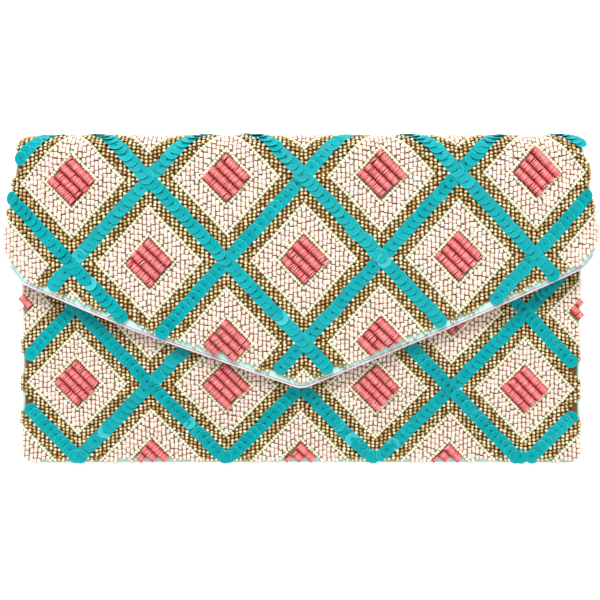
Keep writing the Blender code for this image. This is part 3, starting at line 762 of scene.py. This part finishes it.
def cloth_sheet(name, finish, panel, rows, inset=0.0, height=None, tint=None, columns=180):
    """A sheet of cloth, thickened inwards. A panel is its surface and the function that gives its side
    edges. The rows are the lowest and highest s, and how many rows of points there are."""
    height = height or ripple
    place, edges = panel
    stations = np.linspace(*rows)
    left, right = edges(stations, inset)
    share = np.linspace(0, 1, columns + 1)
    x = left[:, None] + (right - left)[:, None] * share
    s = np.broadcast_to(stations[:, None], x.shape)
    grid = place(x, s, height(x, s))
    first = (np.arange(len(stations) - 1)[:, None] * (columns + 1) + np.arange(columns)).ravel()
    corners = np.stack([first, first + 1, first + columns + 2, first + columns + 1], axis=-1).ravel()
    uv = unit_square(np.stack([x.ravel(), s.ravel()], axis=-1))
    tints_with_shade = None if tint is None else tint(x, s).ravel()
    mesh = array_mesh(name, grid.reshape(-1, 3), corners, np.full(len(first), 4), True, uv, tints_with_shade)
    made = add_object(name, mesh, finish)
    shell = made.modifiers.new("thickness", "SOLIDIFY")
    shell.thickness = THICKNESS[finish]
    shell.offset = -1.0
    return made, cut_size(grid)


def front_edges(stations, inset):
    """The front's side edges, drawn in at the two bottom corners."""
    climb = np.clip((stations - BOTTOM_Y - inset) / CORNER_RADIUS, 0, 1)
    half = HALF_WIDTH - inset - CORNER_RADIUS * (1 - np.sqrt(1 - (1 - climb) ** 2))
    return -half, half


def pocket_edges(stations, inset):
    """The slip pocket's straight side edges."""
    half = np.full(len(stations), POCKET_HALF - inset)
    return -half, half


SKIN_PANEL = (skin, skin_edges)
FRONT_PANEL = (front, front_edges)
POCKET_PANEL = (skin, pocket_edges)


def ripple(x, s):
    """Slow unevenness of hand-sewn cloth, about 0.1 mm."""
    across = np.sin(x / (7.3 * MM) + 1.3 * np.sin(s / (11 * MM)))
    along = np.sin(s / (5.1 * MM) + x / (19 * MM))
    return 0.06 * MM * (across + along)


def skin_gap_shade(x, s):
    """The painted shade on the skin's cloth between the beads, with a bare margin along the flap's lower
    edge and along the other edges.
    """
    side = 1 - smooth_step((from_sides(x, s) - 0.1 * MM) / (0.4 * MM))
    lower = 1 - smooth_step((from_lower_edge(x, s) - 2.2 * MM) / (1.6 * MM))
    return gap_shade_tint(SKIN_LATTICE, x, s, np.maximum(side, lower))


def front_gap_shade(x, y):
    """The painted shade on the front's cloth between the beads, bare along its edges, under the snap and
    above the beads.
    """
    side = np.minimum(HALF_WIDTH - np.abs(x) + 1.2 * MM, y - BOTTOM_Y)
    edge = 1 - smooth_step((side - 1.4 * MM) / (0.6 * MM))
    snap = 1 - smooth_step((np.hypot(x, y - SNAP_Y) - SNAP_RADIUS) / MM)
    bare = np.maximum(np.maximum(edge, snap), smooth_step((y - FRONT_BEADS_TOP) / MM))
    return gap_shade_tint(FRONT_LATTICE, x, y, bare)


def flap_cloth():
    """Mint cloth of the flap and the front half of the fold."""
    rows = (TIP_Y, FOLD_MIDDLE, 100)
    flap, cut = cloth_sheet("flap_cloth", "ground_cloth", SKIN_PANEL, rows, tint=skin_gap_shade)
    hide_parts("flap_ground_cloth")
    attach(flap, ("spine", "flap"))


def back_cloth():
    """Mint cloth of the back and the rear half of the fold."""
    rows = (FOLD_MIDDLE, BACK_END, 120)
    back, cut = cloth_sheet("back_cloth", "ground_cloth", SKIN_PANEL, rows, tint=skin_gap_shade)
    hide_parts("back_ground_cloth", "fold_ground_cloth")
    attach(back, ("bag", "spine"))


def front_cloth():
    """Mint cloth of the front."""
    rows = (BOTTOM_Y, MOUTH_Y, 110)
    panel, cut = cloth_sheet("front_cloth", "ground_cloth", FRONT_PANEL, rows, tint=front_gap_shade)
    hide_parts("front_ground_cloth")
    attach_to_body(panel, "bag")


def lining_depth(s):
    """How deep the satin under the skin lies away from its edges."""
    return LINING_DEPTH - FOLD_EASE * (1 - smooth_step(np.abs(s - FOLD_MIDDLE) / FOLD_EASE_REACH))


def tucked(x, s, edge_distance, depth, reach):
    """Height of a lining that comes up to the cloth at its edge."""
    rise = LINING_EDGE_DEPTH + (depth - LINING_EDGE_DEPTH) * smooth_step(edge_distance / reach)
    return -rise + 0.5 * ripple(x, s)


def inside_body(x, y, height):
    """A lining's height, kept in its own half of the room between front and back."""
    half_room = (front(x, y, 0.0) - skin(x, FOLD_END + FOLD_Y - y, 0.0))[..., 2] / 2
    return np.maximum(height, np.minimum(0.4 * MM - half_room, -0.3 * MM))


def flap_lining():
    """The satin facing under the flap and in the front half of the fold."""
    def height(x, s):
        inwards = np.minimum(from_sides(x, s), from_lower_edge(x, s)) - FACING_INSET
        return tucked(x, s, inwards, lining_depth(s), FACING_TUCK)

    rows = (TIP_Y + 1.5 * MM, FOLD_MIDDLE, 90)
    facing, cut = cloth_sheet("flap_lining", "lining_satin", SKIN_PANEL, rows, FACING_INSET, height)
    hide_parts("flap_facing")
    attach(facing, ("spine", "flap"))


def back_satin():
    """The satin lining of the back and the rear half of the fold."""
    def height(x, s):
        inwards = np.minimum(from_sides(x, s), BACK_END - s) - LINING_INSET
        inside = tucked(x, s, inwards, lining_depth(s), LINING_TUCK)
        return np.where(s < FOLD_END, inside, inside_body(x, FOLD_END + FOLD_Y - s, inside))

    rows = (FOLD_MIDDLE, BACK_END - LINING_INSET, 110)
    back, cut = cloth_sheet("back_satin", "lining_satin", SKIN_PANEL, rows, LINING_INSET, height)
    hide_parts("back_lining", "fold_lining")
    attach(back, ("bag", "spine"))


def front_satin():
    """The satin lining of the front."""
    def height(x, y):
        side = np.minimum(HALF_WIDTH - np.abs(x), y - BOTTOM_Y) - LINING_INSET
        mouth = (MOUTH_Y - y) * 2.4
        return inside_body(x, y, tucked(x, y, np.minimum(side, mouth), LINING_DEPTH, LINING_TUCK))

    rows = (BOTTOM_Y + LINING_INSET, MOUTH_Y, 110)
    inner, cut = cloth_sheet("front_satin", "lining_satin", FRONT_PANEL, rows, LINING_INSET, height)
    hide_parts("front_lining")
    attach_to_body(inner, "bag")


def slip_pocket():
    """A satin pocket on the back lining, open at its top edge."""
    def height(x, s):
        edge = np.minimum(POCKET_HALF - np.abs(x), POCKET_FOOT - s)
        mouth = smooth_step((s - POCKET_MOUTH) / (9 * MM))
        swell = 0.5 * MM * smooth_step(edge / (6 * MM)) * (1 - 0.5 * mouth)
        return -POCKET_DEPTH - swell + 0.6 * ripple(x, s)

    rows = (POCKET_MOUTH, POCKET_FOOT, 60)
    pocket, cut = cloth_sheet("pocket_satin", "lining_satin", POCKET_PANEL, rows, 0.0, height, columns=90)
    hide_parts("slip_pocket")
    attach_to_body(pocket, "bag")


def pocket_stitches():
    """The row of stitches down the pocket's sides and along its foot."""
    side_x = (MM - POCKET_HALF, POCKET_HALF - MM)
    sides = [(x, s) for x in side_x for s in np.arange(POCKET_MOUTH, POCKET_FOOT, STITCH_STEP)]
    foot = [(x, POCKET_FOOT - MM) for x in np.arange(-POCKET_HALF, POCKET_HALF, STITCH_STEP)]
    turns = [math.pi / 2] * len(sides) + [0.0] * len(foot)
    x, s = np.array(sides + foot).T
    stitches = beads_at(x, s, -2.8 * MM, np.array(turns))
    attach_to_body(scatter("pocket_stitches", stitch(0.16 * MM, 1.9 * MM), "thread", stitches, skin), "bag")


# ---- cords sewn along the edges

def tube(name, finish, path, radius, sides=10):
    """A round cord along a path, closed at both ends. The radius may differ along it."""
    radius = np.broadcast_to(radius, len(path))
    along = normalised(np.gradient(path, axis=0))
    side = normalised(np.cross(along, np.array([0.0, 0.0, 1.0])))
    over = np.cross(side, along)
    angles = np.arange(sides) * 2 * math.pi / sides
    circle = side[:, None] * np.cos(angles)[None, :, None] + over[:, None] * np.sin(angles)[None, :, None]
    points = (path[:, None] + circle * radius[:, None, None]).reshape(-1, 3)
    faces = [face[:1] + face[:0:-1] for face in swept_faces(len(path), sides, closed=False)]
    turns = np.tile(np.arange(sides) / sides, len(path))
    lengths = np.repeat(np.linspace(0, 1, len(path)), sides)
    mesh = array_mesh(name, points, np.concatenate(faces), np.array([len(f) for f in faces]), True,
                      np.stack([lengths, turns], axis=-1))
    return add_object(name, mesh, finish)


def along_chain(corners, offset, step=0.8 * MM):
    """Evenly spaced places along a chain of lines, moved outwards, with its corners eased."""
    chain = np.array(corners) * MM
    lengths = np.concatenate([[0], np.cumsum(np.linalg.norm(np.diff(chain, axis=0), axis=1))])
    stations = np.arange(0, lengths[-1], step)
    places = np.stack([np.interp(stations, lengths, chain[:, k]) for k in (0, 1)], axis=-1)
    window = np.ones(5) / 5
    for k in (0, 1):
        places[2:-2, k] = np.convolve(places[:, k], window, mode="valid")
    along = normalised(np.gradient(places, axis=0))
    return places + offset * np.stack([along[:, 1], -along[:, 0]], axis=-1)


def flap_trim():
    """Satin piping along the flap's lower edge, and the mauve seam line beside it."""
    x, s = along_chain(FLAP_LOWER_EDGE, 0.4 * MM).T
    ends = smooth_step(np.minimum(np.arange(len(x)), np.arange(len(x))[::-1]) / 6)
    gathers = 1 + 0.05 * np.sin(np.arange(len(x)) * 1.9) + 0.04 * np.sin(np.arange(len(x)) * 0.63)
    radius = PIPING_RADIUS * gathers * (0.4 + 0.6 * ends)
    piping = tube("piping", "piping_satin", skin(x, s, -0.5 * MM), radius, 12)
    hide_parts("flap_piping")
    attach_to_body(piping, "flap")
    x, s = along_chain(FLAP_LOWER_EDGE, -0.15 * MM).T
    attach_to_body(tube("piping_seam", "thread", skin(x, s, 0.1 * MM), 0.18 * MM, 6), "flap")


def body_seam():
    """The rolled mint edge that joins front and back, and the one along the front's mouth."""
    half, low = HALF_WIDTH / MM, BOTTOM_Y / MM
    corner = [(-half, low + 5), (-half + 0.7, low + 2.4), (-half + 2.4, low + 0.7), (-half + 5, low)]
    left = [(-half, MOUTH_Y / MM)] + corner
    chain = left + [(-x, y) for x, y in reversed(left)]
    x, y = along_chain(chain, -0.4 * MM).T
    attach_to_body(tube("body_seam", "bound_edge", front(x, y, -SEAM_STACK / 2), 0.7 * MM, 8), "bag")
    x = np.linspace(-HALF_WIDTH + 0.5 * MM, HALF_WIDTH - 0.5 * MM, 300)
    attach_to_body(tube("mouth_binding", "bound_edge", front(x, MOUTH_Y, -0.55 * MM), 0.75 * MM, 8), "bag")


# ---- snap

def snap_piece(name, finish, profile, base, body, node):
    """A turned piece on the snap's tilted axis."""
    shape = lathe(np.array(profile) * MM, 40)
    cos, sin = math.cos(SNAP_TILT), math.sin(SNAP_TILT)
    tilt = np.array([(1, 0, 0), (0, cos, -sin), (0, sin, cos)])
    points = shape.points @ tilt.T + base
    uv = unit_square(shape.points[:, :2])
    mesh = array_mesh(name, points, shape.corners, shape.sizes, True, uv)
    made = add_object(name, mesh, finish)
    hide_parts(node)
    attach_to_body(made, body)


def magnetic_snap():
    """Socket and ring magnet on the front, and the stud under the flap's point."""
    axis = np.array([0, -math.sin(SNAP_TILT), math.cos(SNAP_TILT)])
    base = front(0.0, SNAP_Y, 0.0) + axis * SNAP_SEAT
    stud = base + axis * STUD_SEAT
    socket = [(0.05, 0.0), (5.6, 0.0), (5.9, 0.15), (6.0, 0.4), (6.0, 2.1), (5.9, 2.35), (5.75, 2.4),
              (5.6, 2.35), (5.5, 2.1), (5.5, 0.5), (0.05, 0.5)]
    ring = [(2.3, 0.8), (2.3, 2.15), (2.45, 2.3), (5.0, 2.3), (5.2, 2.15), (5.2, 0.8)]
    button = [(0.05, -1.5), (1.35, -1.5), (1.6, -1.35), (1.7, -1.1), (1.7, 0.0), (5.7, 0.0), (5.95, 0.12),
              (6.0, 0.4), (5.9, 0.7), (5.6, 0.8), (0.05, 0.8)]
    snap_piece("socket_cup", "snap_metal", socket[::-1], base, "bag", "snap_socket")
    snap_piece("ring_magnet", "magnet", ring, base, "bag", "snap_magnet")
    snap_piece("stud_button", "snap_metal", button[::-1], stud, "flap", "snap_stud")


# ---- materials

def shader_of(name):
    """A new material, its node tree and its shader."""
    made = bpy.data.materials.new(name)
    made.use_nodes = True
    return made, made.node_tree, made.node_tree.nodes["Principled BSDF"]


def node(tree, kind, **values):
    """Adds a shader node and sets its properties and its unlinked sockets."""
    made = tree.nodes.new(kind)
    for key, value in values.items():
        if key in made.inputs:
            made.inputs[key].default_value = value
        else:
            setattr(made, key, value)
    return made


def ramp(tree, factor, colours):
    """A colour ramp from (position, colour) pairs, driven by a socket."""
    made = tree.nodes.new("ShaderNodeValToRGB")
    elements = made.color_ramp.elements
    while len(elements) < len(colours):
        elements.new(0.5)
    for element, (position, colour) in zip(elements, colours):
        element.position = position
        element.color = (*colour, 1.0)
    tree.links.new(factor, made.inputs["Fac"])
    return made.outputs["Color"]


def tint_value(tree):
    """The tint that is stored on a piece's points: painted shade and highlight, with a tint that differs at
    random from bead to bead.
    """
    return node(tree, "ShaderNodeAttribute", attribute_name="tint").outputs["Fac"]


def set_inputs(shader, values):
    for key, value in values.items():
        shader.inputs[key].default_value = value


def bead_material(name, colours, roughness, metallic=0.0, coat=0.0, specular=0.5):
    """Glass, metal or lacquer beads, with painted shade low down and a painted highlight on top, whose
    colour differs from bead to bead.
    """
    made, tree, shader = shader_of(name)
    tree.links.new(ramp(tree, tint_value(tree), colours), shader.inputs["Base Color"])
    set_inputs(shader, {"Roughness": roughness, "Metallic": metallic, "Coat Weight": coat,
                        "Coat Roughness": 0.12, "Specular IOR Level": specular})
    return made


def weave_bump(tree, shader, scale, strength, distance):
    """Crossed threads, as bump on the shader."""
    place = node(tree, "ShaderNodeTexCoord").outputs["Object"]
    threads = []
    for direction in ("X", "Y"):
        wave = node(tree, "ShaderNodeTexWave", bands_direction=direction, Scale=scale, Distortion=1.5,
                    Detail=2.0)
        tree.links.new(place, wave.inputs["Vector"])
        threads.append(wave.outputs["Fac"])
    both = node(tree, "ShaderNodeMath", operation="MAXIMUM")
    for socket, thread in zip(both.inputs, threads):
        tree.links.new(thread, socket)
    bump = node(tree, "ShaderNodeBump", Strength=strength, Distance=distance)
    tree.links.new(both.outputs[0], bump.inputs["Height"])
    tree.links.new(bump.outputs["Normal"], shader.inputs["Normal"])


def noise_value(tree, scale, detail):
    """Noise that stays with the object."""
    noise = node(tree, "ShaderNodeTexNoise", Scale=scale, Detail=detail)
    tree.links.new(node(tree, "ShaderNodeTexCoord").outputs["Object"], noise.inputs["Vector"])
    return noise.outputs["Fac"]


def uneven_roughness(tree, shader, low, high, scale):
    spread = node(tree, "ShaderNodeMapRange")
    set_inputs(spread, {"To Min": low, "To Max": high})
    tree.links.new(noise_value(tree, scale, 4.0), spread.inputs["Value"])
    tree.links.new(spread.outputs["Result"], shader.inputs["Roughness"])


def noise_colour(tree, shader, colours, scale):
    tree.links.new(ramp(tree, noise_value(tree, scale, 5.0), colours), shader.inputs["Base Color"])


def ground_cloth_material():
    """Mint cloth at its bare edges, with painted shade on the cloth between the beads."""
    made, tree, shader = shader_of("ground_cloth")
    # Painted shade between the beads: dark brown under the gold, shaded olive further in, then mint where
    # the cloth is bare.
    colours = [(0.0, (0.13, 0.042, 0.003)), (0.5, (0.33, 0.31, 0.19)), (0.8, (0.40, 0.60, 0.50)),
               (1.0, (0.46, 0.79, 0.69))]
    tree.links.new(ramp(tree, tint_value(tree), colours), shader.inputs["Base Color"])
    weave_bump(tree, shader, 900.0, 0.5, 0.1 * MM)
    uneven_roughness(tree, shader, 0.65, 0.9, 220.0)
    return made


def cloth_material(name, dark, light, weave_scale, roughness, sheen=0.0, strength=0.4):
    """Woven cloth or thread between two tones. The roughness is a lowest and a highest value."""
    made, tree, shader = shader_of(name)
    noise_colour(tree, shader, [(0.3, dark), (0.7, light)], 60.0)
    weave_bump(tree, shader, weave_scale, strength, 0.06 * MM)
    uneven_roughness(tree, shader, *roughness, 150.0)
    shader.inputs["Sheen Weight"].default_value = sheen
    return made


def metal_material(name, dark, light, roughness):
    made, tree, shader = shader_of(name)
    noise_colour(tree, shader, [(0.3, dark), (0.7, light)], 400.0)
    uneven_roughness(tree, shader, *roughness, 900.0)
    shader.inputs["Metallic"].default_value = 1.0
    return made


def make_finishes():
    """Every material, by the finish that pieces ask for."""
    return {
        "ground_cloth": ground_cloth_material(),
        "bound_edge": cloth_material("bound_edge", (0.38, 0.72, 0.62), (0.50, 0.84, 0.74), 900.0,
                                     (0.6, 0.85), 0.2),
        # Each bead ramp runs from painted shade at the bead's underside and ends to a painted highlight on
        # its top; the sequin ramp's top is its painted rim highlight and glint.
        "gold": bead_material("gold_bead", [
            (0.36, (0.07, 0.020, 0.001)), (0.55, (0.19, 0.078, 0.010)), (0.72, (0.35, 0.21, 0.055)),
            (0.85, (0.60, 0.49, 0.25)), (0.97, (0.95, 0.90, 0.66))],
            0.3, metallic=0.1, coat=0.3, specular=0.4),
        "pearl": bead_material("pearl_bead", [
            (0.34, (0.27, 0.20, 0.08)), (0.54, (0.54, 0.48, 0.30)), (0.74, (0.70, 0.66, 0.45)),
            (0.97, (0.84, 0.83, 0.69))], 0.35, coat=0.2, specular=0.35),
        "bugle": bead_material("bugle_bead", [
            (0.25, (0.36, 0.14, 0.08)), (0.50, (0.66, 0.38, 0.29)), (0.70, (0.75, 0.59, 0.49)),
            (0.90, (0.78, 0.68, 0.58)), (1.0, (0.86, 0.80, 0.71))], 0.4, coat=0.15, specular=0.35),
        "sequin": bead_material("sequin", [
            (0.10, (0.0, 0.06, 0.065)), (0.36, (0.0, 0.25, 0.27)), (0.62, (0.0, 0.315, 0.34)),
            (1.0, (0.10, 0.56, 0.60))], 0.42, coat=0.02, specular=0.07),
        "coral": bead_material("coral_disc", [
            (0.30, (0.26, 0.004, 0.005)), (0.55, (0.45, 0.033, 0.035)), (0.75, (0.65, 0.13, 0.135)),
            (0.95, (0.80, 0.27, 0.265)), (1.0, (0.87, 0.40, 0.38))], 0.42, coat=0.1, specular=0.25),
        "lining_satin": cloth_material("lining_satin", (0.56, 0.33, 0.29), (0.66, 0.42, 0.38), 1400.0,
                                       (0.4, 0.55), 0.1, 0.2),
        "piping_satin": cloth_material("piping_satin", (0.66, 0.48, 0.54), (0.84, 0.70, 0.74), 1400.0,
                                       (0.28, 0.42), 0.3, 0.3),
        "thread": cloth_material("thread", (0.36, 0.28, 0.34), (0.50, 0.42, 0.47), 2500.0, (0.6, 0.8)),
        "interfacing": cloth_material("interfacing", (0.80, 0.78, 0.72), (0.90, 0.89, 0.85), 700.0,
                                      (0.85, 0.95)),
        "snap_metal": metal_material("snap_metal", (0.62, 0.48, 0.24), (0.78, 0.64, 0.38), (0.2, 0.35)),
        "magnet": metal_material("magnet", (0.18, 0.18, 0.20), (0.30, 0.30, 0.32), (0.3, 0.5)),
    }


def refinish_kept_nodes():
    """Better materials on the CAD nodes that stay: boards and clamp plates inside the layers."""
    kept = {"interfacing": ("front_interfacing", "back_interfacing", "flap_interfacing"),
            "snap_metal": ("snap_socket_plate", "snap_stud_plate")}
    for finish, names in kept.items():
        for name in names:
            for material_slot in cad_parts[name].material_slots:
                material_slot.material = FINISHES[finish]


# ---- studio

def area_light(name, location, size, power):
    """A rectangular lamp that shines on the purse."""
    lamp = bpy.data.lights.new(name, "AREA")
    lamp.shape = "RECTANGLE"
    lamp.size, lamp.size_y = size
    lamp.energy = power
    made = placed(name, lamp)
    made.location = location
    made.rotation_euler = (-Vector(location)).to_track_quat("-Z", "Y").to_euler()


def studio():
    """A white floor, a large soft key from the fold's side, a fill, an overhead light and a soft room."""
    half = 2.0
    corners = half * np.array([(-1, -1, 0), (1, -1, 0), (1, 1, 0), (-1, 1, 0)])
    mesh = array_mesh("floor", corners, np.arange(4), np.array([4]), False)
    floor = placed("floor", mesh)
    paper, tree, shader = shader_of("studio_paper")
    noise_colour(tree, shader, [(0.4, (0.93, 0.93, 0.93)), (0.6, (0.96, 0.96, 0.96))], 8.0)
    white = (1.0, 1.0, 1.0, 1.0)
    set_inputs(shader, {"Roughness": 0.8, "Emission Color": white, "Emission Strength": 0.3})
    mesh.materials.append(paper)
    area_light("key", (-0.15, 0.85, 0.9), (0.6, 0.5), 16.0)
    area_light("fill", (0.5, -0.6, 1.0), (0.9, 0.9), 3.5)
    area_light("overhead", (0.0, 0.2, 1.4), (0.9, 0.9), 8.0)
    scene = bpy.context.scene
    world = bpy.data.worlds.new("soft_room")
    scene.world = world
    world.use_nodes = True
    set_inputs(world.node_tree.nodes["Background"], {"Color": white, "Strength": 0.45})
    scene.view_settings.view_transform = "Standard"


def camera():
    """Straight above the purse, as the photograph was taken."""
    data = bpy.data.cameras.new("camera")
    data.sensor_width = 36.0
    data.lens = 54.48
    made = placed("camera", data)
    made.location = (-0.65 * MM, 0.0, 420 * MM)
    bpy.context.scene.camera = made


# ---- assembly

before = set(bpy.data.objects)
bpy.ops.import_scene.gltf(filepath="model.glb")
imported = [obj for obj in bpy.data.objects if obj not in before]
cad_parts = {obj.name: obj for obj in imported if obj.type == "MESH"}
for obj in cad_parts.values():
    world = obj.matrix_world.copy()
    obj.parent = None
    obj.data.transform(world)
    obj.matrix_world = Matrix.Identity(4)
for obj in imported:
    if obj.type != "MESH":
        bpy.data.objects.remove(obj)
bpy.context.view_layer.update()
FINISHES = make_finishes()
studio()
camera()
flap_cloth()
back_cloth()
front_cloth()
flap_lining()
back_satin()
front_satin()
slip_pocket()
pocket_stitches()
flap_trim()
body_seam()
magnetic_snap()
skin_beadwork()
front_beadwork()
refinish_kept_nodes()
